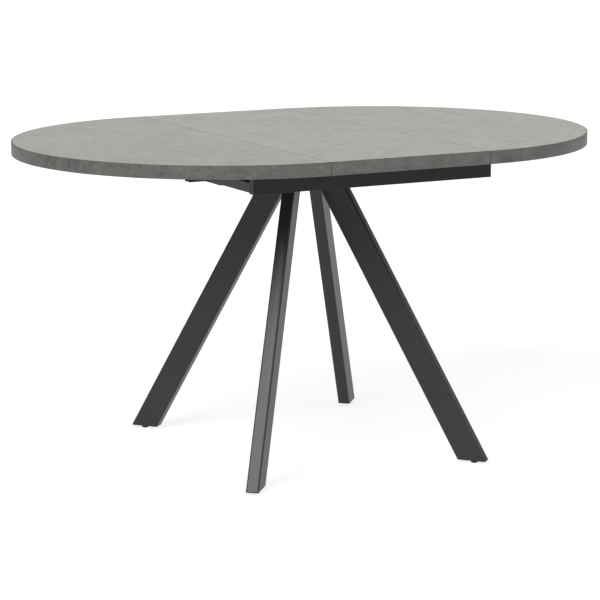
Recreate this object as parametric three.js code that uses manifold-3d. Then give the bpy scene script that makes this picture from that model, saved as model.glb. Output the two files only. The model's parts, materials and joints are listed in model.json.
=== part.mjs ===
// Round extending dining table, 1.0 m across and 1.4 m long with its folding leaf in place.
// Millimetres, +Z up. The origin is on the floor under the middle of the top.
// +X is the way the top extends.
import * as THREE from "three";
import { mergeVertices } from "three/addons/utils/BufferGeometryUtils.js";
import Module from "manifold-3d";

const wasm = await Module();
wasm.setup();

// ---------- driving dimensions ----------
const TOP_R = 500; // radius of the round top
const LEAF_LENGTH = 400; // what the leaf adds between the two halves
const TOP_Z = 760; // height of the table's surface
const TOP_T = 30; // thickness of the top
const SEAM_GAP = 1.2; // joint between two boards of the top
const BAND_T = 2; // edge banding
const FIT = 0.3; // gap between two pieces that touch

const FRAME_L = 610; // under-frame, along X
const FRAME_W = 680; // under-frame, along Y
const FRAME_H = 54.2; // height of a side rail
const RAIL_T = 20; // thickness of a side rail
const CROSS_H = 23.5; // height of a crossbar
const CROSS_LIFT = 1.7; // the crossbars' underside lies this far above the rails' underside
const END_BAR_W = 25;
const MID_BAR_W = 30;
const MID_BAR_X = 90; // centre line of the crossbars that carry the leg plate
const TUBE_WALL = 2;
const STRAP_L = 330; // flat strap screwed under each end crossbar
const STRAP_W = 22;
const STRAP_T = 2.2;

const TRACK_OUT = 306; // centre lines of the outer and the inner slide track, from the middle
const TRACK_IN = 261;
const RUNNER_W = 20;
const RUNNER_H = 19.6;
const RUNNER_L = 500;
const RUNNER_LIP = 4;
const RUNNER_REACH = 448; // outer end of a runner, from the middle
const GUIDE_PLATE_T = 3;
const GUIDE_PLATE_W = 69.5;
const SHOE_L = 250;

const GEAR_MODULE = 1.25;
const PINION_TEETH = 14;
const RACK_H = 8;
const RACK_START = 48; // a rack runs from this far past the pinion on one side ...
const RACK_END = 210; // ... to this far on the other
const TOOTH_ADDENDUM = 1;
const TOOTH_DEDENDUM = 1.35;
const BACKLASH = 0.12; // taken off each tooth's thickness
const PRESSURE_ANGLE = THREE.MathUtils.degToRad(20);

const LEG_W = 60; // tube section, along and across the leg's own upright plane
const LEG_T = 30;
const LEG_CORNER = 4;
const LEG_SLOPE = 0.554; // inward run per unit of rise
const LEG_AZIMUTH = 48.9; // degrees from the X axis
const LEG_FOOT_R = 432.6; // centre of the leg at the floor, from the middle
const LEG_OFFSET = -12.5; // each leg stands this far beside the diagonal, pinwheel fashion
const PLATE_SIZE = 220;
const PLATE_T = 6;
const BOLT_Y = 95;
const BOLT_R = 4;

const PAD_R = 8;
const PAD_H = 6.2;
const STEM_R = 4;
const STEM_TOP = 24;
const CAP_FLANGE = 1.5;
const CAP_TOP = 26;

const PIN_Y = 300; // dowels that line the leaf up with the halves
const PIN_R = 4;
const PIN_OUT = 10;
const PIN_IN = 16;
const HINGE_X = 120; // concealed hinges in the leaf's middle joint
const HINGE_R = 7;
const HINGE_DEPTH = 30;

// ---------- derived heights ----------
const UNDER_Z = TOP_Z - TOP_T;
const RAIL_TOP = UNDER_Z - 0.5;
const RAIL_Z = RAIL_TOP - FRAME_H;
const CROSS_Z = RAIL_Z + CROSS_LIFT;
const CROSS_TOP = CROSS_Z + CROSS_H;
const PLATE_Z = CROSS_Z - FIT - PLATE_T;
const LEG_TOP = PLATE_Z - FIT;
const GUIDE_Z = CROSS_TOP + FIT;
const SHOE_Z = GUIDE_Z + GUIDE_PLATE_T + FIT;
const RUNNER_Z = UNDER_Z - FIT - RUNNER_H;
const RACK_Z = RUNNER_Z + 2.5;
const PITCH_R = (GEAR_MODULE * PINION_TEETH) / 2;
const TOOTH_PITCH = Math.PI * GEAR_MODULE;
const PINION_Y = (TRACK_OUT + TRACK_IN) / 2;

// ---------- finishes ----------
const finish = (color, roughness, metalness) =>
  new THREE.MeshStandardMaterial({ color, roughness, metalness });
const laminate = finish(0x9c9b95, 0.6, 0);
const banding = finish(0x6b6a66, 0.65, 0);
const paintedSteel = finish(0x333331, 0.5, 0.6);
const zincSteel = finish(0x8f9296, 0.4, 0.9);
const blackPlastic = finish(0x161616, 0.6, 0);
const nylon = finish(0xd8d5cb, 0.5, 0);

const table = new THREE.Group();

// Puts one named piece into a group.
function piece(name, geometry, material, group = table) {
  const mesh = new THREE.Mesh(geometry, material);
  mesh.name = name;
  group.add(mesh);
  return mesh;
}

// ---------- shape helpers ----------
function block(x0, x1, y0, y1, z0, z1) {
  const g = new THREE.BoxGeometry(x1 - x0, y1 - y0, z1 - z0);
  return g.translate((x0 + x1) / 2, (y0 + y1) / 2, (z0 + z1) / 2);
}

function polygon(points) {
  return new THREE.Shape(points.map(([x, y]) => new THREE.Vector2(x, y)));
}

function roundedRect(w, h, r, hole = null) {
  const s = hole ?? new THREE.Shape();
  s.moveTo(w / 2 - r, -h / 2);
  s.absarc(w / 2 - r, -h / 2 + r, r, -Math.PI / 2, 0);
  s.absarc(w / 2 - r, h / 2 - r, r, 0, Math.PI / 2);
  s.absarc(-w / 2 + r, h / 2 - r, r, Math.PI / 2, Math.PI);
  s.absarc(-w / 2 + r, -h / 2 + r, r, Math.PI, 1.5 * Math.PI);
  s.closePath();
  return s;
}

// A rectangular tube's section with rounded corners.
function tubeSection(w, h, r, wall) {
  const s = roundedRect(w, h, r);
  s.holes.push(roundedRect(w - 2 * wall, h - 2 * wall, Math.max(r - wall, 0.6), new THREE.Path()));
  return s;
}

function alongZ(shape, z0, z1, curveSegments = 3) {
  const depth = z1 - z0;
  return new THREE.ExtrudeGeometry(shape, { depth, bevelEnabled: false, curveSegments }).translate(0, 0, z0);
}

// The shape's own x and y become Y and Z.
function alongX(shape, x0, x1, curveSegments = 3) {
  return alongZ(shape, x0, x1, curveSegments).rotateX(Math.PI / 2).rotateZ(Math.PI / 2);
}

// The shape's own x and y become X and Z.
function alongY(shape, y0, y1, curveSegments = 3) {
  return alongZ(shape, -y1, -y0, curveSegments).rotateX(Math.PI / 2);
}

function rod(r, z0, z1, segments = 16) {
  const upright = new THREE.CylinderGeometry(r, r, z1 - z0, segments).rotateX(Math.PI / 2);
  return upright.translate(0, 0, (z0 + z1) / 2);
}

// Leans a piece inward as a leg leans.
function lean(geometry) {
  const shear = new THREE.Matrix4().set(1, 0, -LEG_SLOPE, 0, 0, 1, 0, 0, 0, 0, 1, 0, 0, 0, 0, 1);
  return geometry.applyMatrix4(shear);
}

// ---------- joining and cutting ----------
function solid(geometry) {
  const bare = geometry.clone();
  bare.deleteAttribute("normal");
  bare.deleteAttribute("uv");
  const merged = mergeVertices(bare, 1e-3);
  const vertProperties = merged.attributes.position.array;
  const triVerts = new Uint32Array(merged.index.array);
  return new wasm.Manifold(new wasm.Mesh({ numProp: 3, vertProperties, triVerts }));
}

function geometryOf(manifold) {
  const mesh = manifold.getMesh();
  const g = new THREE.BufferGeometry();
  g.setAttribute("position", new THREE.BufferAttribute(mesh.vertProperties, 3));
  g.setIndex(new THREE.BufferAttribute(mesh.triVerts, 1));
  return g;
}

function join(...geometries) {
  return geometryOf(geometries.map(solid).reduce((a, b) => a.add(b)));
}

function cut(geometry, ...tools) {
  return geometryOf(tools.map(solid).reduce((a, b) => a.subtract(b), solid(geometry)));
}

// ---------- legs, their end caps and levelling feet ----------
const legRun = LEG_W * Math.hypot(1, LEG_SLOPE); // the leg's width in a level cut
const legNames = ["back_right", "back_left", "front_left", "front_right"];
const legTurns = [LEG_AZIMUTH, 180 - LEG_AZIMUTH, 180 + LEG_AZIMUTH, 360 - LEG_AZIMUTH];

function leg() {
  const section = tubeSection(legRun, LEG_T, LEG_CORNER, TUBE_WALL);
  return lean(alongZ(section, PAD_H + CAP_FLANGE + 2 * FIT, LEG_TOP));
}

function legCap() {
  const inner = TUBE_WALL + FIT;
  const low = PAD_H + FIT;
  const flange = lean(alongZ(roundedRect(legRun, LEG_T, LEG_CORNER), low, low + CAP_FLANGE));
  const plugShape = roundedRect(legRun - 2 * inner, LEG_T - 2 * inner, 1);
  const plug = lean(alongZ(plugShape, low + CAP_FLANGE - 0.1, CAP_TOP));
  return cut(join(flange, plug), rod(STEM_R + FIT, 0, CAP_TOP + 10));
}

function foot() {
  const profile = [
    [0, 0], [PAD_R - 0.8, 0], [PAD_R, 0.8], [PAD_R, PAD_H - 0.8], [PAD_R - 0.8, PAD_H],
    [STEM_R, PAD_H], [STEM_R, STEM_TOP - 1], [STEM_R - 1, STEM_TOP], [0, STEM_TOP],
  ].map(([x, y]) => new THREE.Vector2(x, y));
  return new THREE.LatheGeometry(profile, 20).rotateX(Math.PI / 2);
}

legNames.forEach((name, i) => {
  const stand = new THREE.Group();
  stand.rotation.z = THREE.MathUtils.degToRad(legTurns[i]);
  table.add(stand);
  for (const mesh of [
    piece(`leg_${name}`, leg(), paintedSteel, stand),
    piece(`leg_cap_${name}`, legCap(), blackPlastic, stand),
    piece(`levelling_foot_${name}`, foot(), blackPlastic, stand),
  ]) {
    mesh.position.set(LEG_FOOT_R, LEG_OFFSET, 0);
  }
});

// ---------- leg plate and its bolts ----------
const corners = [[1, 1], [-1, 1], [-1, -1], [1, -1]];
const boltPlaces = corners.map(([sx, sy]) => [sx * MID_BAR_X, sy * BOLT_Y]);

const plate = alongZ(roundedRect(PLATE_SIZE, PLATE_SIZE, 12), PLATE_Z, PLATE_Z + PLATE_T);
const boltHoles = boltPlaces.map(([x, y]) =>
  rod(BOLT_R + 0.5, PLATE_Z - 1, CROSS_TOP - 5).translate(x, y, 0),
);
piece("leg_plate", cut(plate, ...boltHoles), paintedSteel);

boltPlaces.forEach(([x, y], i) => {
  const head = rod(7.5, PLATE_Z - FIT - 5.3, PLATE_Z - FIT, 6);
  const shank = rod(BOLT_R, PLATE_Z - FIT - 0.1, PLATE_Z + 22, 12);
  piece(`plate_bolt_${i + 1}`, join(head, shank), zincSteel).position.set(x, y, 0);
});

// ---------- under-frame ----------
const sides = [["front", -1], ["back", 1]];
const ends = [["left", -1], ["right", 1]];
const railMiddle = (FRAME_W - RAIL_T) / 2;
const railZ = RAIL_Z + FRAME_H / 2;
const barReach = FRAME_W / 2 - RAIL_T - FIT;
const crossZ = CROSS_Z + CROSS_H / 2;

for (const [side, sy] of sides) {
  const railEnd = FRAME_L / 2 - CAP_FLANGE - FIT;
  const rail = alongX(tubeSection(RAIL_T, FRAME_H, 1.5, TUBE_WALL), -railEnd, railEnd, 2);
  piece(`side_rail_${side}`, rail, paintedSteel).position.set(0, sy * railMiddle, railZ);
  for (const [end, sx] of ends) {
    const gap = 2 * (TUBE_WALL + FIT);
    const flange = alongX(roundedRect(RAIL_T, FRAME_H, 1.5), 0, CAP_FLANGE, 2);
    const plug = alongX(roundedRect(RAIL_T - gap, FRAME_H - gap, 1), -12, 0.1, 2);
    const cap = piece(`rail_end_cap_${side}_${end}`, join(flange, plug), blackPlastic);
    cap.position.set(sx * (FRAME_L / 2 - CAP_FLANGE), sy * railMiddle, railZ);
    cap.rotation.z = sx > 0 ? 0 : Math.PI;
  }
}

for (const [end, sx] of ends) {
  const endBar = alongY(tubeSection(END_BAR_W, CROSS_H, 1.5, TUBE_WALL), -barReach, barReach, 2);
  const endX = sx * (FRAME_L / 2 - 2 - END_BAR_W / 2);
  piece(`end_crossbar_${end}`, endBar, paintedSteel).position.set(endX, 0, crossZ);
  const strap = alongZ(roundedRect(STRAP_W, STRAP_L, 3), -STRAP_T, 0);
  piece(`crossbar_strap_${end}`, strap, paintedSteel).position.set(endX, 0, CROSS_Z - FIT);
  const midBar = alongY(tubeSection(MID_BAR_W, CROSS_H, 1.5, TUBE_WALL), -barReach, barReach, 2);
  midBar.translate(sx * MID_BAR_X, 0, crossZ);
  const holes = boltHoles.filter((_, i) => Math.sign(boltPlaces[i][0]) === sx);
  piece(`mid_crossbar_${end}`, cut(midBar, ...holes), paintedSteel);
}

// ---------- slides: fixed guide plates and shoes, moving runners ----------
// A runner is a C-channel, open below, screwed under a half of the top. A nylon shoe on the frame fills it.
function runnerSection() {
  const w = RUNNER_W / 2;
  const wall = w - TUBE_WALL;
  const slot = w - RUNNER_LIP;
  const roof = RUNNER_H - TUBE_WALL;
  return polygon([
    [-w, 0], [-slot, 0], [-slot, TUBE_WALL], [-wall, TUBE_WALL], [-wall, roof], [wall, roof],
    [wall, TUBE_WALL], [slot, TUBE_WALL], [slot, 0], [w, 0], [w, RUNNER_H], [-w, RUNNER_H],
  ]);
}

function shoeSection() {
  const neck = RUNNER_W / 2 - RUNNER_LIP - 0.5;
  const head = RUNNER_W / 2 - TUBE_WALL - 0.4;
  const base = RUNNER_W / 2 + 2;
  const baseTop = RUNNER_Z - SHOE_Z - 0.5;
  const headLow = RUNNER_Z - SHOE_Z + TUBE_WALL + 0.5;
  const headTop = RUNNER_Z - SHOE_Z + RUNNER_H - TUBE_WALL - 0.5;
  return polygon([
    [-base, 0], [base, 0], [base, baseTop], [neck, baseTop], [neck, headLow], [head, headLow],
    [head, headTop], [-head, headTop], [-head, headLow], [-neck, headLow], [-neck, baseTop], [-base, baseTop],
  ]);
}

for (const [side, sy] of sides) {
  const guide = block(-290, 290, -GUIDE_PLATE_W / 2, GUIDE_PLATE_W / 2, GUIDE_Z, GUIDE_Z + GUIDE_PLATE_T);
  const guideY = sy * (FRAME_W / 2 - RAIL_T - FIT - GUIDE_PLATE_W / 2);
  piece(`guide_plate_${side}`, guide, paintedSteel).position.set(0, guideY, 0);
  for (const [end, sx] of ends) {
    // The left half uses the front outer and the back inner track, the right half the other two.
    const track = sx * sy > 0 ? TRACK_OUT : TRACK_IN;
    const shoe = piece(`guide_shoe_${side}_${end}`, alongX(shoeSection(), -SHOE_L + 5, 5), nylon);
    shoe.position.set(0, sy * track, SHOE_Z);
    shoe.rotation.z = sx > 0 ? Math.PI : 0;
    const runner = alongX(runnerSection(), RUNNER_REACH - RUNNER_L, RUNNER_REACH);
    const channel = piece(`runner_${side}_${end}`, runner, paintedSteel);
    channel.position.set(0, sy * track, RUNNER_Z);
    channel.rotation.z = sx > 0 ? 0 : Math.PI;
  }
}

// ---------- equaliser: a pinion between two racks makes both halves travel alike ----------
// Half the angle that a pinion tooth fills at radius r.
function halfToothAngle(r) {
  const baseR = PITCH_R * Math.cos(PRESSURE_ANGLE);
  const involute = (a) => Math.tan(a) - a;
  const atPitch = (TOOTH_PITCH / 2 - BACKLASH) / 2 / PITCH_R;
  const here = Math.acos(Math.min(1, baseR / r));
  return atPitch + involute(PRESSURE_ANGLE) - involute(here);
}

function pinionShape() {
  const tip = PITCH_R + TOOTH_ADDENDUM;
  const root = PITCH_R - TOOTH_DEDENDUM;
  const radii = [root, PITCH_R - 0.45, PITCH_R, PITCH_R + 0.5, tip];
  const points = [];
  for (let i = 0; i < PINION_TEETH; i++) {
    const middle = -Math.PI / 2 + (i * 2 * Math.PI) / PINION_TEETH;
    for (const side of [-1, 1]) {
      for (const r of side < 0 ? radii : [...radii].reverse()) {
        const a = middle + side * halfToothAngle(r);
        points.push([r * Math.cos(a), r * Math.sin(a)]);
      }
    }
  }
  return polygon(points);
}

// Teeth point to +y from the pitch line at y = 0, with a space between two teeth at x = 0.
function rackShape(back) {
  const first = Math.ceil(-RACK_END / TOOTH_PITCH);
  const last = Math.floor(RACK_START / TOOTH_PITCH);
  const half = (TOOTH_PITCH / 2 - BACKLASH) / 2;
  const slope = Math.tan(PRESSURE_ANGLE);
  const points = [[last * TOOTH_PITCH, -back], [last * TOOTH_PITCH, -TOOTH_DEDENDUM]];
  for (let i = last - 1; i >= first; i--) {
    const x = (i + 0.5) * TOOTH_PITCH;
    points.push([x + half + TOOTH_DEDENDUM * slope, -TOOTH_DEDENDUM]);
    points.push([x + half - TOOTH_ADDENDUM * slope, TOOTH_ADDENDUM]);
    points.push([x - half + TOOTH_ADDENDUM * slope, TOOTH_ADDENDUM]);
    points.push([x - half - TOOTH_DEDENDUM * slope, -TOOTH_DEDENDUM]);
  }
  points.push([first * TOOTH_PITCH, -TOOTH_DEDENDUM], [first * TOOTH_PITCH, -back]);
  return polygon(points.reverse());
}

const AXLE_R = 3;
const bored = pinionShape();
bored.holes.push(new THREE.Path().absarc(0, 0, AXLE_R + 0.25, 0, 2 * Math.PI));
const pinion = piece("pinion", alongZ(bored, RACK_Z - 0.5, RACK_Z + RACK_H + 0.5, 16), nylon);
pinion.position.set(0, -PINION_Y, 0);

const axleProfile = [
  [0, SHOE_Z], [7, SHOE_Z], [7, RACK_Z - 1], [AXLE_R, RACK_Z - 1],
  [AXLE_R, RACK_Z + RACK_H + 3], [AXLE_R - 0.6, RACK_Z + RACK_H + 3.6], [0, RACK_Z + RACK_H + 3.6],
].map(([x, y]) => new THREE.Vector2(x, y));
const axle = piece("pinion_axle", new THREE.LatheGeometry(axleProfile, 20).rotateX(Math.PI / 2), zincSteel);
axle.position.set(0, -PINION_Y, 0);

const rackBack = (TRACK_OUT - TRACK_IN - RUNNER_W) / 2 - PITCH_R - FIT;
for (const [end, sx] of ends) {
  const rack = piece(`rack_${end}`, alongZ(rackShape(rackBack), RACK_Z, RACK_Z + RACK_H), nylon);
  rack.position.set(0, -PINION_Y + sx * PITCH_R, 0);
  rack.rotation.z = sx > 0 ? Math.PI : 0;
}

// ---------- the two halves of the top ----------
function halfDisc(r, edge) {
  const s = new THREE.Shape();
  const a = Math.asin(edge / r);
  s.absarc(0, 0, r, -Math.PI / 2 + a, Math.PI / 2 - a);
  s.closePath();
  return s;
}

function rimBand(edge) {
  const outer = Math.asin(edge / TOP_R);
  const innerR = TOP_R - BAND_T;
  const inner = Math.asin(edge / innerR);
  const s = new THREE.Shape();
  s.absarc(0, 0, TOP_R, -Math.PI / 2 + outer, Math.PI / 2 - outer);
  s.absarc(0, 0, innerR, Math.PI / 2 - inner, -Math.PI / 2 + inner, true);
  s.closePath();
  return s;
}

const RIM_STEPS = 48;
const pinZ = TOP_Z - TOP_T / 2;
for (const [end, sx] of ends) {
  const half = new THREE.Group();
  half.position.set((sx * LEAF_LENGTH) / 2, 0, 0);
  half.rotation.z = sx > 0 ? 0 : Math.PI;
  table.add(half);
  const edge = SEAM_GAP / 2;
  const sockets = [-1, 1].map((sy) =>
    rod(PIN_R + FIT, -1, PIN_IN + 1).rotateY(Math.PI / 2).translate(edge, sy * PIN_Y, pinZ),
  );
  const board = alongZ(halfDisc(TOP_R - BAND_T - FIT / 2, edge), UNDER_Z, TOP_Z, RIM_STEPS);
  piece(`top_half_${end}`, cut(board, ...sockets), laminate, half);
  piece(`edge_band_${end}`, alongZ(rimBand(edge), UNDER_Z, TOP_Z, RIM_STEPS), banding, half);
  for (const [side, sy] of sides) {
    const pin = rod(PIN_R, -PIN_OUT, PIN_IN, 16).rotateY(Math.PI / 2);
    const dowel = piece(`leaf_dowel_${side}_${end}`, pin, zincSteel, half);
    dowel.position.set(edge, sx * sy * PIN_Y, pinZ);
  }
}

// ---------- the folding leaf ----------
// The joint in the leaf's middle folds about a line just above the surface, so the faces come together.
function notch() {
  const top = PIN_R + 0.5;
  const mouth = 2 * PIN_R - 0.5;
  const s = new THREE.Shape();
  s.moveTo(mouth, -TOP_T);
  s.lineTo(top, 0);
  s.absarc(0, 0, top, 0, Math.PI);
  s.lineTo(-mouth, -TOP_T);
  s.closePath();
  return s;
}

const leafHalf = (LEAF_LENGTH - SEAM_GAP) / 2;
for (const [side, sy] of sides) {
  const leaf = new THREE.Group();
  leaf.rotation.z = sy > 0 ? 0 : Math.PI;
  table.add(leaf);
  const outer = TOP_R - BAND_T - FIT / 2;
  const board = block(-leafHalf, leafHalf, SEAM_GAP / 2, outer, UNDER_Z, TOP_Z);
  const depth = PIN_OUT + 2;
  const notches = [-leafHalf - 1, leafHalf - depth].map((x) =>
    alongX(notch(), x, x + depth + 1, 6).translate(0, PIN_Y, pinZ),
  );
  const bores = [-1, 1].map((s) =>
    rod(HINGE_R + FIT, -HINGE_DEPTH - 1, 1).rotateX(Math.PI / 2).translate(s * HINGE_X, 0, pinZ),
  );
  piece(`leaf_${side}`, cut(board, ...notches, ...bores), laminate, leaf);
  const band = block(-leafHalf, leafHalf, TOP_R - BAND_T, TOP_R, UNDER_Z, TOP_Z);
  piece(`leaf_edge_band_${side}`, band, banding, leaf);
  for (const [end, s] of ends) {
    const barrel = rod(HINGE_R, -HINGE_DEPTH, -SEAM_GAP / 2).rotateX(Math.PI / 2);
    const hinge = piece(`leaf_hinge_${side}_${end}`, barrel, zincSteel, leaf);
    hinge.position.set(s * sy * HINGE_X, 0, pinZ);
  }
}

export default table;
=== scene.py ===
"""Looks of a round extending dining table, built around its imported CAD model.

Metres, +Z up. The origin is on the floor under the middle of the top, and +X is the way the top extends.
"""
import json
import math

import bmesh
import bpy
from mathutils import Euler, Matrix, Vector
from mathutils.geometry import convex_hull_2d


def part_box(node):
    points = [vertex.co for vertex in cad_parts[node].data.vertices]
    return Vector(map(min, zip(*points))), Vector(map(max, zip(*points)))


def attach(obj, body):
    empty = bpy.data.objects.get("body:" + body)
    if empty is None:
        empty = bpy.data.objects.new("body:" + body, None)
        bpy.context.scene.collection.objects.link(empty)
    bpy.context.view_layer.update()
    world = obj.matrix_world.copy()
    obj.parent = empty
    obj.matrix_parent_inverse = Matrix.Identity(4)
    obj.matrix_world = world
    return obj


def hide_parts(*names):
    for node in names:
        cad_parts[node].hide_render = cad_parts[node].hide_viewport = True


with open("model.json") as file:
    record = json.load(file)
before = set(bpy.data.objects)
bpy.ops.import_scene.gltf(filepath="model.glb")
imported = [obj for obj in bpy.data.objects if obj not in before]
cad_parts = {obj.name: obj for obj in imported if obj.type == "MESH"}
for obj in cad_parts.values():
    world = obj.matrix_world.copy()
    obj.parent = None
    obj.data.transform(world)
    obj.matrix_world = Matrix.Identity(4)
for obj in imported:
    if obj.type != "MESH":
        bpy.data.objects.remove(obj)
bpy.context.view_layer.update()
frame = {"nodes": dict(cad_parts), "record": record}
MM = 0.001
ENDS = (("left", -1), ("right", 1))
SIDES = (("front", -1), ("back", 1))
LEGS = ("back_right", "back_left", "front_left", "front_right")
FIT = 0.3 * MM  # gap between two pieces that touch

# ---------- sizes, all from the frame ----------
band_low, band_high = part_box("edge_band_right")
TOP_R = band_high.y
CENTRE_X = band_high.x - TOP_R  # centre of the right half's round
UNDER_Z, TOP_Z = band_low.z, band_high.z
TOP_T = TOP_Z - UNDER_Z
SEAM_X = band_low.x
leaf_low, leaf_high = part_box("leaf_back")
LEAF_X = leaf_high.x
BAND_T = TOP_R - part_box("leaf_edge_band_back")[0].y
BOARD_EDGE = TOP_R - BAND_T - 0.05 * MM


# ---------- camera ----------
def make_camera():
    """Looks at the table from the front left, a little above the top, with a long lens."""
    data = bpy.data.cameras.new("camera")
    data.sensor_width = 36
    data.lens = 129.2
    camera = bpy.data.objects.new("camera", data)
    camera.location = (-2.374, -4.478, 1.356)
    aim = Euler((math.radians(90 - 11.155), 0, math.radians(-27.807))).to_matrix()
    camera.rotation_euler = (aim @ Matrix.Rotation(math.radians(-0.07), 3, "Z")).to_euler()
    bpy.context.collection.objects.link(camera)
    bpy.context.scene.camera = camera


# ---------- node helpers ----------
class Nodes:
    """A material's node tree, with short calls for the nodes that these materials use."""

    def __init__(self, name):
        self.material = bpy.data.materials.new(name)
        self.material.use_nodes = True
        self.tree = self.material.node_tree
        self.shader = self.tree.nodes["Principled BSDF"]
        coordinates = self.tree.nodes.new("ShaderNodeTexCoord")
        self.place = coordinates.outputs["Object"]

    def link(self, source, target):
        self.tree.links.new(source, target)

    def mapped(self, scale=(1, 1, 1), turn=(0, 0, 0), shift=(0, 0, 0)):
        node = self.tree.nodes.new("ShaderNodeMapping")
        node.inputs["Location"].default_value = shift
        node.inputs["Rotation"].default_value = [math.radians(a) for a in turn]
        node.inputs["Scale"].default_value = scale
        self.link(self.place, node.inputs["Vector"])
        return node.outputs["Vector"]

    def noise(self, vector, scale, detail=4, roughness=0.5, warp=0):
        node = self.tree.nodes.new("ShaderNodeTexNoise")
        settings = {"Scale": scale, "Detail": detail, "Roughness": roughness, "Distortion": warp}
        for key, value in settings.items():
            node.inputs[key].default_value = value
        self.link(vector, node.inputs["Vector"])
        return node.outputs["Fac"]

    def ramp(self, value, stops):
        node = self.tree.nodes.new("ShaderNodeValToRGB")
        elements = node.color_ramp.elements
        while len(elements) < len(stops):
            elements.new(0.5)
        for element, (position, colour) in zip(elements, stops):
            element.position = position
            element.color = (*colour, 1) if isinstance(colour, tuple) else (colour, colour, colour, 1)
        self.link(value, node.inputs["Fac"])
        return node.outputs["Color"]

    def maths(self, operation, a, b):
        node = self.tree.nodes.new("ShaderNodeMath")
        node.operation = operation
        for socket, value in zip(node.inputs, (a, b)):
            if isinstance(value, (int, float)):
                socket.default_value = value
            else:
                self.link(value, socket)
        return node.outputs["Value"]

    def bump(self, height, strength, distance):
        node = self.tree.nodes.new("ShaderNodeBump")
        node.inputs["Strength"].default_value = strength
        node.inputs["Distance"].default_value = distance
        self.link(height, node.inputs["Height"])
        self.link(node.outputs["Normal"], self.shader.inputs["Normal"])

    def set(self, **values):
        for key, value in values.items():
            socket = self.shader.inputs[key.replace("_", " ")]
            if hasattr(value, "is_output"):
                self.link(value, socket)
            else:
                socket.default_value = value


# ---------- materials ----------
def grey(value, warmth=0.0):
    """A neutral grey, turned a little towards yellow by warmth."""
    return (value * (1 + warmth), value * (1 + 0.6 * warmth), value * (1 - warmth))


def slate(name, level, shift, depth=1.0, roughness=0.58):
    """Concrete-effect laminate: soft clouds, short slanting veins and a fine grain around one grey level."""
    n = Nodes(name)
    flat = n.mapped(shift=shift)
    veins = n.mapped(scale=(1, 3.2, 3.2), turn=(0, 35, 20), shift=shift)
    clouds = n.noise(flat, 6, detail=5, roughness=0.62, warp=0.4)
    blotches = n.noise(flat, 34, detail=6, roughness=0.66, warp=0.8)
    streaks = n.noise(veins, 30, detail=5, roughness=0.62, warp=0.6)
    grain = n.noise(flat, 420, detail=2, roughness=0.6)
    pattern = n.maths("MULTIPLY", clouds, 0.16)
    for part, weight in ((blotches, 0.38), (streaks, 0.36), (grain, 0.10)):
        pattern = n.maths("ADD", pattern, n.maths("MULTIPLY", part, weight))
    dark, light = 1 - 0.24 * depth, 1 + 0.22 * depth
    stops = [
        (0.38, grey(level * dark, 0.030)),
        (0.47, grey(level * (1 - 0.05 * depth), 0.036)),
        (0.55, grey(level * (1 + 0.05 * depth), 0.040)),
        (0.63, grey(level * light, 0.034)),
    ]
    n.set(Base_Color=n.ramp(pattern, stops))
    n.set(Roughness=n.ramp(streaks, [(0.3, roughness - 0.06), (0.7, roughness + 0.06)]))
    n.shader.inputs["Specular IOR Level"].default_value = 0.35
    n.bump(n.maths("ADD", n.maths("MULTIPLY", streaks, 0.6), grain), 0.22, 0.25 * MM)
    return n.material


def underside_sheet_and_seam_shade():
    """Dark grey on the underside, inner edges and arris of the boards: a backing sheet made as dark as the
    shade under the top, so partly painted shade, and on the rounded arris painted shade that draws dark lines
    along the seams and the rim's top edge.
    """
    n = Nodes("underside_sheet_with_seam_shade")
    place = n.mapped()
    fibre = n.noise(place, 160, detail=4, roughness=0.6)
    n.set(Base_Color=n.ramp(fibre, [(0.35, grey(0.085, 0.02)), (0.65, grey(0.115, 0.02))]))
    n.set(Roughness=n.ramp(fibre, [(0.3, 0.6), (0.7, 0.72)]))
    n.bump(fibre, 0.15, 0.1 * MM)
    return n.material


def powder_coat(name, level, shine, roughness=0.4):
    """Fine-textured powder coat: an orange-peel bump and slight changes of tone."""
    n = Nodes(name)
    place = n.mapped()
    tone = n.noise(place, 9, detail=3)
    peel = n.noise(place, 900, detail=2, roughness=0.55)
    n.set(Base_Color=n.ramp(tone, [(0.3, grey(level * 0.93, 0.03)), (0.7, grey(level * 1.07, 0.03))]))
    n.set(Roughness=n.ramp(peel, [(0.3, roughness - 0.04), (0.7, roughness + 0.06)]))
    n.shader.inputs["Specular IOR Level"].default_value = shine
    n.bump(peel, 0.25, 0.12 * MM)
    return n.material


def moulded(name, colour, roughness):
    """Moulded plastic with a fine spark-eroded grain."""
    n = Nodes(name)
    place = n.mapped()
    grain = n.noise(place, 1400, detail=2)
    tone = n.noise(place, 40, detail=2)
    dark, light = [tuple(c * k for c in colour) for k in (0.9, 1.1)]
    n.set(Base_Color=n.ramp(tone, [(0.35, dark), (0.65, light)]))
    n.set(Roughness=n.ramp(grain, [(0.3, roughness - 0.05), (0.7, roughness + 0.05)]))
    n.shader.inputs["Specular IOR Level"].default_value = 0.25
    n.bump(grain, 0.2, 0.05 * MM)
    return n.material


def zinc():
    """Bright zinc plating with faint turning marks and patches."""
    n = Nodes("zinc_plating")
    place = n.mapped(scale=(1, 1, 6))
    marks = n.noise(place, 300, detail=3)
    patches = n.noise(place, 60, detail=3)
    n.set(Base_Color=n.ramp(patches, [(0.3, (0.46, 0.47, 0.47)), (0.7, (0.62, 0.62, 0.60))]), Metallic=1.0)
    n.set(Roughness=n.ramp(marks, [(0.3, 0.28), (0.7, 0.42)]))
    n.bump(marks, 0.12, 0.03 * MM)
    return n.material


# ---------- mesh helpers ----------
SHARP = math.radians(38)  # turn between two faces above which their edge is shaded sharp
ROUNDED = math.radians(50)  # turn between two faces above which their edge is rounded


def soften(mesh):
    """Smooth shading, but for the sharp edges."""
    mesh.shade_smooth()
    mesh.set_sharp_from_angle(angle=SHARP)


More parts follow.
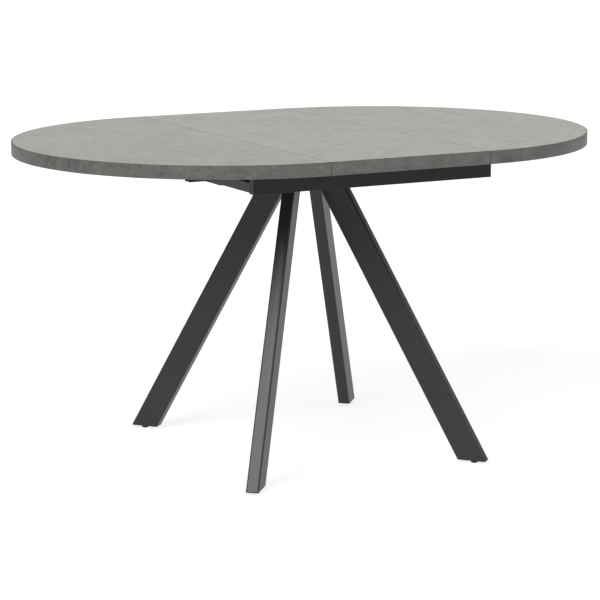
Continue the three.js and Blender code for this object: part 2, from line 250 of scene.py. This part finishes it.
def add_piece(name, mesh, body, materials):
    """Puts a finished mesh into the scene, smooth but for its sharp edges, riding on a body."""
    if not mesh.materials:
        for material in materials:
            mesh.materials.append(material)
    soften(mesh)
    piece = bpy.data.objects.new(name, mesh)
    bpy.context.collection.objects.link(piece)
    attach(piece, body)
    return piece


def to_mesh(bm, name):
    bmesh.ops.recalc_face_normals(bm, faces=bm.faces)
    mesh = bpy.data.meshes.new(name)
    bm.to_mesh(mesh)
    bm.free()
    return mesh


def round_edges(bm, radius, segments):
    """Rounds every edge whose faces meet at more than ROUNDED."""
    sharp = [e for e in bm.edges if len(e.link_faces) == 2 and e.calc_face_angle(0) > ROUNDED]
    bmesh.ops.bevel(
        bm, geom=sharp, offset=radius, offset_type="OFFSET", segments=segments, profile=0.5, affect="EDGES",
        clamp_overlap=True,
    )


def with_weighted_normals(mesh):
    """Leans the smooth shading of a mesh on its large faces, so that flats look flat beside rounded edges."""
    blank = bpy.data.objects.new("blank", mesh)
    bpy.context.collection.objects.link(blank)
    soften(mesh)
    blank.modifiers.new("weights", "WEIGHTED_NORMAL").keep_sharp = True
    weighted = bpy.data.meshes.new_from_object(blank.evaluated_get(bpy.context.evaluated_depsgraph_get()))
    bpy.data.objects.remove(blank)
    return weighted


def refined(node, radius, segments, material, body):
    """A finer copy of a CAD node: flat faces made whole, and edges rounded."""
    bm = bmesh.new()
    bm.from_mesh(frame["nodes"][node].data)
    bmesh.ops.remove_doubles(bm, verts=bm.verts, dist=0.002 * MM)
    bmesh.ops.dissolve_limit(bm, angle_limit=math.radians(0.5), verts=bm.verts, edges=bm.edges)
    round_edges(bm, radius, segments)
    mesh = with_weighted_normals(to_mesh(bm, node))
    piece = add_piece(f"{node}_fine", mesh, body, [material])
    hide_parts(node)


def round_angles(count):
    """Angles that share a full turn out evenly."""
    return [2 * math.pi * i / count for i in range(count)]


def loft(rings, closed=False):
    """A mesh through rings of points, either closed into a loop or capped at both ends."""
    bm = bmesh.new()
    rows = [[bm.verts.new(p) for p in ring] for ring in rings]
    count = len(rows[0])
    pairs = list(zip(rows, rows[1:])) + ([(rows[-1], rows[0])] if closed else [])
    for low, high in pairs:
        for i in range(count):
            j = (i + 1) % count
            bm.faces.new((low[i], low[j], high[j], high[i]))
    if not closed:
        bm.faces.new(rows[0][::-1])
        bm.faces.new(rows[-1])
    return bm


def lathe(profile, centre, turns=32):
    """A turned piece: profile points are (radius, height), from the axis back to the axis."""
    rings = []
    for radius, height in profile:
        r = max(radius, 0.02 * MM)
        ring = [Vector((r * math.cos(a), r * math.sin(a), height)) for a in round_angles(turns)]
        rings.append([centre + point for point in ring])
    return loft(rings)


# ---------- the top ----------
ARRIS = 0.8 * MM
ROUND_STEPS = 144  # straight steps round each half's rim
HOLE_PLAY = 0.2 * MM  # play of a hole round its dowel or hinge
OVERRUN = 5 * MM  # how far a cutting tool starts outside a board
HOLE_SPARE = 1 * MM  # how much deeper a hole is than what goes in it
BAND_EASE = 0.7 * MM  # radius of the edge band's corners


def prism(outline, low, high):
    """A board with the outline as its plan, from height low to height high."""
    bm = bmesh.new()
    bottom = [bm.verts.new((x, y, low)) for x, y in outline]
    top = [bm.verts.new((x, y, high)) for x, y in outline]
    bm.faces.new(bottom[::-1])
    bm.faces.new(top)
    for i in range(len(outline)):
        j = (i + 1) % len(outline)
        bm.faces.new((bottom[i], bottom[j], top[j], top[i]))
    return bm


def half_round(radius, edge):
    """Outline of the right half: a semicircle closed by the seam at x = edge."""
    reach = math.acos((edge - CENTRE_X) / radius)
    steps = [reach * (2 * i / ROUND_STEPS - 1) for i in range(ROUND_STEPS + 1)]
    return [(CENTRE_X + radius * math.cos(a), radius * math.sin(a)) for a in steps]


def cut_holes(bm, cutters):
    """Takes the cutters' shapes out of a board."""
    board = bpy.data.objects.new("board_blank", to_mesh(bm, "board"))
    joined = bmesh.new()
    for cutter in cutters:
        joined.from_mesh(cutter)
    tool = bpy.data.objects.new("board_cutter", to_mesh(joined, "cutter"))
    for each in (board, tool):
        bpy.context.collection.objects.link(each)
    cut = board.modifiers.new("cut", "BOOLEAN")
    cut.operation, cut.solver, cut.object = "DIFFERENCE", "EXACT", tool
    graph = bpy.context.evaluated_depsgraph_get()
    mesh = bpy.data.meshes.new_from_object(board.evaluated_get(graph))
    for each in (board, tool):
        bpy.data.objects.remove(each)
    return mesh


def rod_along(name, radius, start, end, turns=24):
    """A plain round rod as a mesh, to cut holes with."""
    direction = (Vector(end) - Vector(start)).normalized()
    turn = direction.to_track_quat("Z", "Y")
    ring = [Vector((radius * math.cos(a), radius * math.sin(a), 0)) for a in round_angles(turns)]
    return to_mesh(loft([[Vector(p) + turn @ v for v in ring] for p in (start, end)]), name)


def skin_board(mesh, face_material):
    """The laminate goes on the top face, the dark grey underside sheet everywhere else; on the arris that
    dark grey is painted shade along the seams and the rim.
    """
    mesh.materials.clear()
    for material in (face_material, UNDERSIDE_SHEET_AND_SEAM_SHADE):
        mesh.materials.append(material)
    for face in mesh.polygons:
        # the rounded arris is not flat on top, so it takes the dark grey: painted shade for the seams
        face.material_index = 0 if face.normal.z > 0.98 else 1


def turned(outline, half_turn):
    """The outline, swung half a turn about the middle of the table if half_turn is true."""
    return [(-x, -y) for x, y in outline] if half_turn else outline


def make_half(end, sign):
    """One half of the top, with the sockets for its dowels, and its edge band."""
    pin_low, pin_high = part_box(f"leaf_dowel_front_{end}")
    pin_z = (pin_low.z + pin_high.z) / 2
    pin_y = abs(pin_low.y + pin_high.y) / 2
    pin_r = (pin_high.z - pin_low.z) / 2
    depth = max(abs(pin_low.x), abs(pin_high.x)) + HOLE_SPARE
    outline = turned(half_round(BOARD_EDGE, SEAM_X), sign < 0)
    bm = prism(outline, UNDER_Z, TOP_Z)
    round_edges(bm, ARRIS, 2)
    mouth = sign * (SEAM_X - OVERRUN)
    holes = [
        rod_along("socket", pin_r + HOLE_PLAY, (mouth, y, pin_z), (sign * depth, y, pin_z))
        for y in (-pin_y, pin_y)
    ]
    mesh = cut_holes(bm, holes)
    skin_board(mesh, LAMINATE[end])
    board = add_piece(f"board_{end}", mesh, f"{end}_half", [])
    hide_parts(f"top_half_{end}")
    band = add_piece(f"rim_{end}", rim_arc(sign), f"{end}_half", [RIM])
    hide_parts(f"edge_band_{end}")


def band_section():
    """The edge band's cross-section as (outward, up), its outer corners eased."""
    points = [(-BAND_T, UNDER_Z), (-BAND_T, TOP_Z)]
    for height, start in ((TOP_Z - BAND_EASE, 90), (UNDER_Z + BAND_EASE, 0)):
        for step in range(5):
            a = math.radians(start - step * 22.5)
            points.append((BAND_EASE * (math.cos(a) - 1), height + BAND_EASE * math.sin(a)))
    return points


def rim_arc(sign):
    """The edge band of one half, bent round its rim from seam to seam."""
    reach = math.acos((SEAM_X - CENTRE_X) / TOP_R)
    rings = []
    for i in range(ROUND_STEPS + 1):
        a = reach * (2 * i / ROUND_STEPS - 1)
        rings.append([
            Vector((sign * (CENTRE_X + (TOP_R + out) * math.cos(a)), sign * (TOP_R + out) * math.sin(a), z))
            for out, z in band_section()
        ])
    return to_mesh(loft(rings), "rim")


def make_leaf(side, sign):
    """One board of the leaf, with its hinge bores and dowel notches, and its edge band."""
    hinge_low, hinge_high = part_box(f"leaf_hinge_{side}_right")
    hinge_r = (hinge_high.x - hinge_low.x) / 2
    hinge_x = (hinge_high.x + hinge_low.x) / 2
    hinge_z = (hinge_high.z + hinge_low.z) / 2
    hinge_end = max(abs(hinge_low.y), abs(hinge_high.y)) + HOLE_SPARE
    near = min(abs(leaf_low.y), abs(leaf_high.y))
    outline = [(-LEAF_X, near), (LEAF_X, near), (LEAF_X, BOARD_EDGE), (-LEAF_X, BOARD_EDGE)]
    bm = prism(turned(outline, sign < 0), UNDER_Z, TOP_Z)
    round_edges(bm, ARRIS, 2)
    holes = [
        rod_along("bore", hinge_r + HOLE_PLAY, (x, -sign * OVERRUN, hinge_z), (x, sign * hinge_end, hinge_z))
        for x in (-hinge_x, hinge_x)
    ]
    holes += [pin_notch(end_sign, sign) for _, end_sign in ENDS]
    mesh = cut_holes(bm, holes)
    skin_board(mesh, LAMINATE[side])
    board = add_piece(f"leaf_board_{side}", mesh, f"{side}_leaf", [])
    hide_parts(f"leaf_{side}")
    rings = [[Vector((x, sign * (TOP_R + out), z)) for out, z in band_section()] for x in (-LEAF_X, LEAF_X)]
    band = add_piece(f"leaf_rim_{side}", to_mesh(loft(rings), "rim"), f"{side}_leaf", [RIM])
    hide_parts(f"leaf_edge_band_{side}")


def pin_notch(end_sign, sign):
    """The notch, open below, that drops over a half's dowel."""
    low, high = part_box("leaf_dowel_back_right")
    z, r = (low.z + high.z) / 2, (high.z - low.z) / 2
    y = sign * (low.y + high.y) / 2
    top, mouth = r + 0.5 * MM, 2 * r - 0.5 * MM
    arc = [(top * math.cos(math.radians(a)), top * math.sin(math.radians(a))) for a in range(0, 181, 15)]
    shape = arc + [(-mouth, -TOP_T), (mouth, -TOP_T)]
    depth = LEAF_X - low.x + 2 * MM
    inner, outer = end_sign * (LEAF_X - depth), end_sign * (LEAF_X + OVERRUN)
    return to_mesh(loft([[Vector((x, y + dy, z + dz)) for dy, dz in shape] for x in (inner, outer)]), "notch")


# ---------- base, slides and hardware ----------
STEEL = "powder_coated_steel"


def make_steelwork():
    """Every steel, plastic and zinc-plated part of the table, with its edges rounded as they are made."""
    eased = (
        (("leg_front", "leg_back"), 0.3, 1, LEG_PAINT, STEEL),
        (("side_rail", "mid_crossbar", "end_crossbar", "runner"), 0.25, 1, FRAME_PAINT, STEEL),
        (("leg_plate", "guide_plate", "crossbar_strap"), 0.6, 2, FRAME_PAINT, STEEL),
        (("leg_cap", "rail_end_cap"), 0.4, 2, BLACK, "black_plastic"),
        (("plate_bolt", "pinion_axle", "leaf_dowel", "leaf_hinge"), 0.35, 2, ZINC, "zinc_steel"),
        (("guide_shoe", "rack", "pinion"), 0.12, 1, NYLON, "nylon"),
    )  # names start with, millimetres of rounding, steps in it, material, slot
    for body, nodes in frame["record"]["behaviour"]["bodies"].items():
        for node in nodes:
            if node.startswith("levelling_foot"):
                make_foot(node, body)
            for starts, radius, segments, material, slot in eased:
                if node.startswith(starts):
                    refined(node, radius * MM, segments, material, body)
                    break


def make_foot(node, body):
    """A levelling foot: a round pad under a threaded stem."""
    low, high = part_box(node)
    centre = Vector(((low.x + high.x) / 2, (low.y + high.y) / 2, 0))
    r = (high.x - low.x) / 2
    cap_low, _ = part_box(node.replace("levelling_foot", "leg_cap"))
    pad = cap_low.z - FIT
    stem = 4 * MM
    pitch = 1.25 * MM
    profile = [(0, 0), (r - 1.2 * MM, 0), (r - 0.3 * MM, 0.3 * MM), (r, 1.1 * MM), (r, pad - 1.0 * MM)]
    profile += [(r - 0.3 * MM, pad - 0.3 * MM), (r - 1.1 * MM, pad), (stem, pad)]
    height = pad + 0.3 * MM
    while height < high.z - 2 * MM:
        profile += [(stem, height), (stem - 0.55 * MM, height + pitch / 2)]
        height += pitch
    profile += [(stem - 0.6 * MM, high.z - 0.4 * MM), (stem - 1.2 * MM, high.z), (0, high.z)]
    foot = add_piece(f"{node}_fine", to_mesh(lathe(profile, centre), node), body, [BLACK])
    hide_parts(node)


BEAD_STEP = 2.5 * MM  # length of one ripple
BEAD_R = 1.615 * MM
BEAD_RIPPLE = 0.2375 * MM
UP = Vector((0, 0, 1))


def weld_bead(leg):
    """A rippled weld bead round the top end of a leg, where it meets the leg plate."""
    points = [v.co for v in frame["nodes"][leg].data.vertices]
    top = max(p.z for p in points)
    ends = [p.xy for p in points if p.z > top - FIT]
    corners = [ends[i] for i in convex_hull_2d(ends)]
    path = []
    for start, finish in zip(corners, corners[1:] + corners[:1]):
        steps = max(1, round((finish - start).length / BEAD_STEP))
        path += [start.lerp(finish, i / steps) for i in range(steps) if (finish - start).length > 0.05 * MM]
    rings = []
    for i, point in enumerate(path):
        along = (path[(i + 1) % len(path)] - path[i - 1]).normalized()
        outward = Vector((along.y, -along.x, 0))
        middle = Vector((*point, top - 0.5 * MM))
        size = BEAD_R + BEAD_RIPPLE * (i % 2)
        turns = round_angles(8)
        rings.append([middle + (outward * math.cos(a) + UP * math.sin(a)) * size for a in turns])
    bead = to_mesh(loft(rings, closed=True), "weld")
    for vertex in bead.vertices:
        vertex.co.z = min(vertex.co.z, top + 0.25 * MM)
    add_piece(leg.replace("leg", "weld"), bead, "base", [FRAME_PAINT])


SCREW_R = 4 * MM
SCREW_T = 2.2 * MM
SOCKET_R = 1.25 * MM  # half the width across the flats of a screw's hexagon socket
SOCKET_FLOOR = 0.6 * MM
STRAP_INSET = 9 * MM  # of a strap's screw, from the strap's end
GUIDE_SCREWS = (-284 * MM, -90 * MM, 90 * MM, 284 * MM)  # over the four crossbars
RUNNER_SCREWS = (14 * MM, 95 * MM, 176 * MM)  # from a runner's outer end, clear of the shoe
RUNNER_WALL = 2 * MM


def button_screw(name, place, way, body):
    """The head of a button screw with a hexagon socket. Way is 1 if it faces up and -1 if it faces down."""
    turns = round_angles(36)
    dome = [math.radians(d) for d in (0, 20, 40, 58)]
    levels = [(SCREW_R * math.cos(a), SCREW_T * math.sin(a)) for a in dome]
    rings = [[(r * math.cos(a), r * math.sin(a), z) for a in turns] for r, z in levels]
    flats = [SOCKET_R / math.cos((a + math.pi / 6) % (math.pi / 3) - math.pi / 6) for a in turns]
    for z in (levels[-1][1], SOCKET_FLOOR):
        rings.append([(r * math.cos(a), r * math.sin(a), z) for r, a in zip(flats, turns)])
    rings = [[place + Vector((x, y, way * (z + 0.05 * MM))) for x, y, z in ring] for ring in rings]
    add_piece(name, to_mesh(loft(rings), "screw"), body, [ZINC])


def make_fixings():
    """The welds and screws that hold the steelwork together."""
    for leg in LEGS:
        weld_bead(f"leg_{leg}")
    for end, _ in ENDS:
        low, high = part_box(f"crossbar_strap_{end}")
        for side, y in (("front", low.y + STRAP_INSET), ("back", high.y - STRAP_INSET)):
            place = Vector(((low.x + high.x) / 2, y, low.z))
            button_screw(f"strap_screw_{side}_{end}", place, -1, "base")
    for side, _ in SIDES:
        low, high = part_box(f"guide_plate_{side}")
        for number, x in enumerate(GUIDE_SCREWS, 1):
            place = Vector((x, (low.y + high.y) / 2, high.z))
            button_screw(f"guide_screw_{side}_{number}", place, 1, "base")
        for end, sign in ENDS:
            low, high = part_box(f"runner_{side}_{end}")
            outer = max(abs(low.x), abs(high.x))
            for number, inset in enumerate(RUNNER_SCREWS, 1):
                place = Vector((sign * (outer - inset), (low.y + high.y) / 2, high.z - RUNNER_WALL))
                button_screw(f"runner_screw_{side}_{end}_{number}", place, -1, f"{end}_half")


# ---------- studio ----------
FLOOR_REACH = 60  # metres from the table to each edge of the floor
WALL_R = 55
WALL_H = 24


def make_world():
    """A dim, even light from all round."""
    world = bpy.data.worlds.new("studio")
    world.use_nodes = True
    background = world.node_tree.nodes["Background"]
    background.inputs["Color"].default_value = (1, 1, 1, 1)
    background.inputs["Strength"].default_value = 0.18
    bpy.context.scene.world = world
    bpy.context.scene.view_settings.view_transform = "Standard"


def stage_piece(name, bm, material):
    """A part of the studio, which isn't part of the table."""
    piece = bpy.data.objects.new(name, to_mesh(bm, name))
    piece.data.materials.append(material)
    bpy.context.collection.objects.link(piece)
    return piece


def make_floor():
    """A floor that glows white, so that the table's shadows hardly show."""
    bm = bmesh.new()
    bmesh.ops.create_grid(bm, x_segments=1, y_segments=1, size=FLOOR_REACH)
    paint = Nodes("floor_paint")
    paint.set(Base_Color=(0.27, 0.27, 0.27, 1), Roughness=0.9)
    paint.set(Emission_Color=(1, 1, 1, 1), Emission_Strength=0.8)
    paint.shader.inputs["Specular IOR Level"].default_value = 0.1
    stage_piece("floor", bm, paint.material)


def make_backdrop():
    """A white wall far off all round. It shows, but it neither lights the table nor blocks the lamps."""
    bm = bmesh.new()
    bmesh.ops.create_cone(bm, segments=96, radius1=WALL_R, radius2=WALL_R, depth=WALL_H)
    paint = Nodes("backdrop_paint")
    paint.set(Base_Color=(0, 0, 0, 1), Emission_Color=(1, 1, 1, 1), Emission_Strength=1.2)
    wall = stage_piece("backdrop", bm, paint.material)
    wall.location.z = WALL_H / 2
    wall.visible_diffuse = False
    wall.visible_glossy = False
    wall.visible_transmission = False
    wall.visible_shadow = False


def make_lights():
    """Broad, soft suns: one overhead, one on the right, one on the left and one in front."""
    for name, direction, strength, spread in (
        ("overhead", (0.25, 0.35, 1), 0.55, 80),
        ("right_side", (1.0, 0.1, 0.45), 0.2, 60),
        ("left_softbox", (-0.70, -0.40, 0.60), 3.0, 38),
        ("front_fill", (0.30, -0.75, 0.55), 1.2, 80),
    ):
        data = bpy.data.lights.new(name, "SUN")
        data.energy = strength
        data.angle = math.radians(spread)
        lamp = bpy.data.objects.new(name, data)
        lamp.rotation_mode = "QUATERNION"
        lamp.rotation_quaternion = Vector(direction).to_track_quat("Z", "Y")
        bpy.context.collection.objects.link(lamp)


make_camera()
LAMINATE = {
    # The left half's laminate is a shade darker than the other boards: painted shade for the light falling
    # off towards that end.
    "left": slate("slate_left_painted_shade", 0.35, (0.0, 0.0, 0.0)),
    "right": slate("slate_right", 0.365, (3.1, 1.7, 0.4)),
    "front": slate("slate_leaf_front", 0.365, (5.3, 2.9, 0.8)),
    "back": slate("slate_leaf_back", 0.365, (7.7, 4.1, 1.2)),
}
RIM = slate("slate_rim", 0.080, (1.3, 6.1, 2.2), depth=1.8, roughness=0.5)
UNDERSIDE_SHEET_AND_SEAM_SHADE = underside_sheet_and_seam_shade()
LEG_PAINT = powder_coat("anthracite_leg", 0.007, 0.48, roughness=0.42)
FRAME_PAINT = powder_coat("anthracite_frame", 0.009, 0.25)
BLACK = moulded("black_plastic", (0.018, 0.018, 0.018), 0.5)
NYLON = moulded("natural_nylon", (0.62, 0.60, 0.54), 0.45)
ZINC = zinc()
for end, sign in ENDS:
    make_half(end, sign)
for side, sign in SIDES:
    make_leaf(side, sign)
make_steelwork()
make_fixings()
make_world()
make_floor()
make_backdrop()
make_lights()
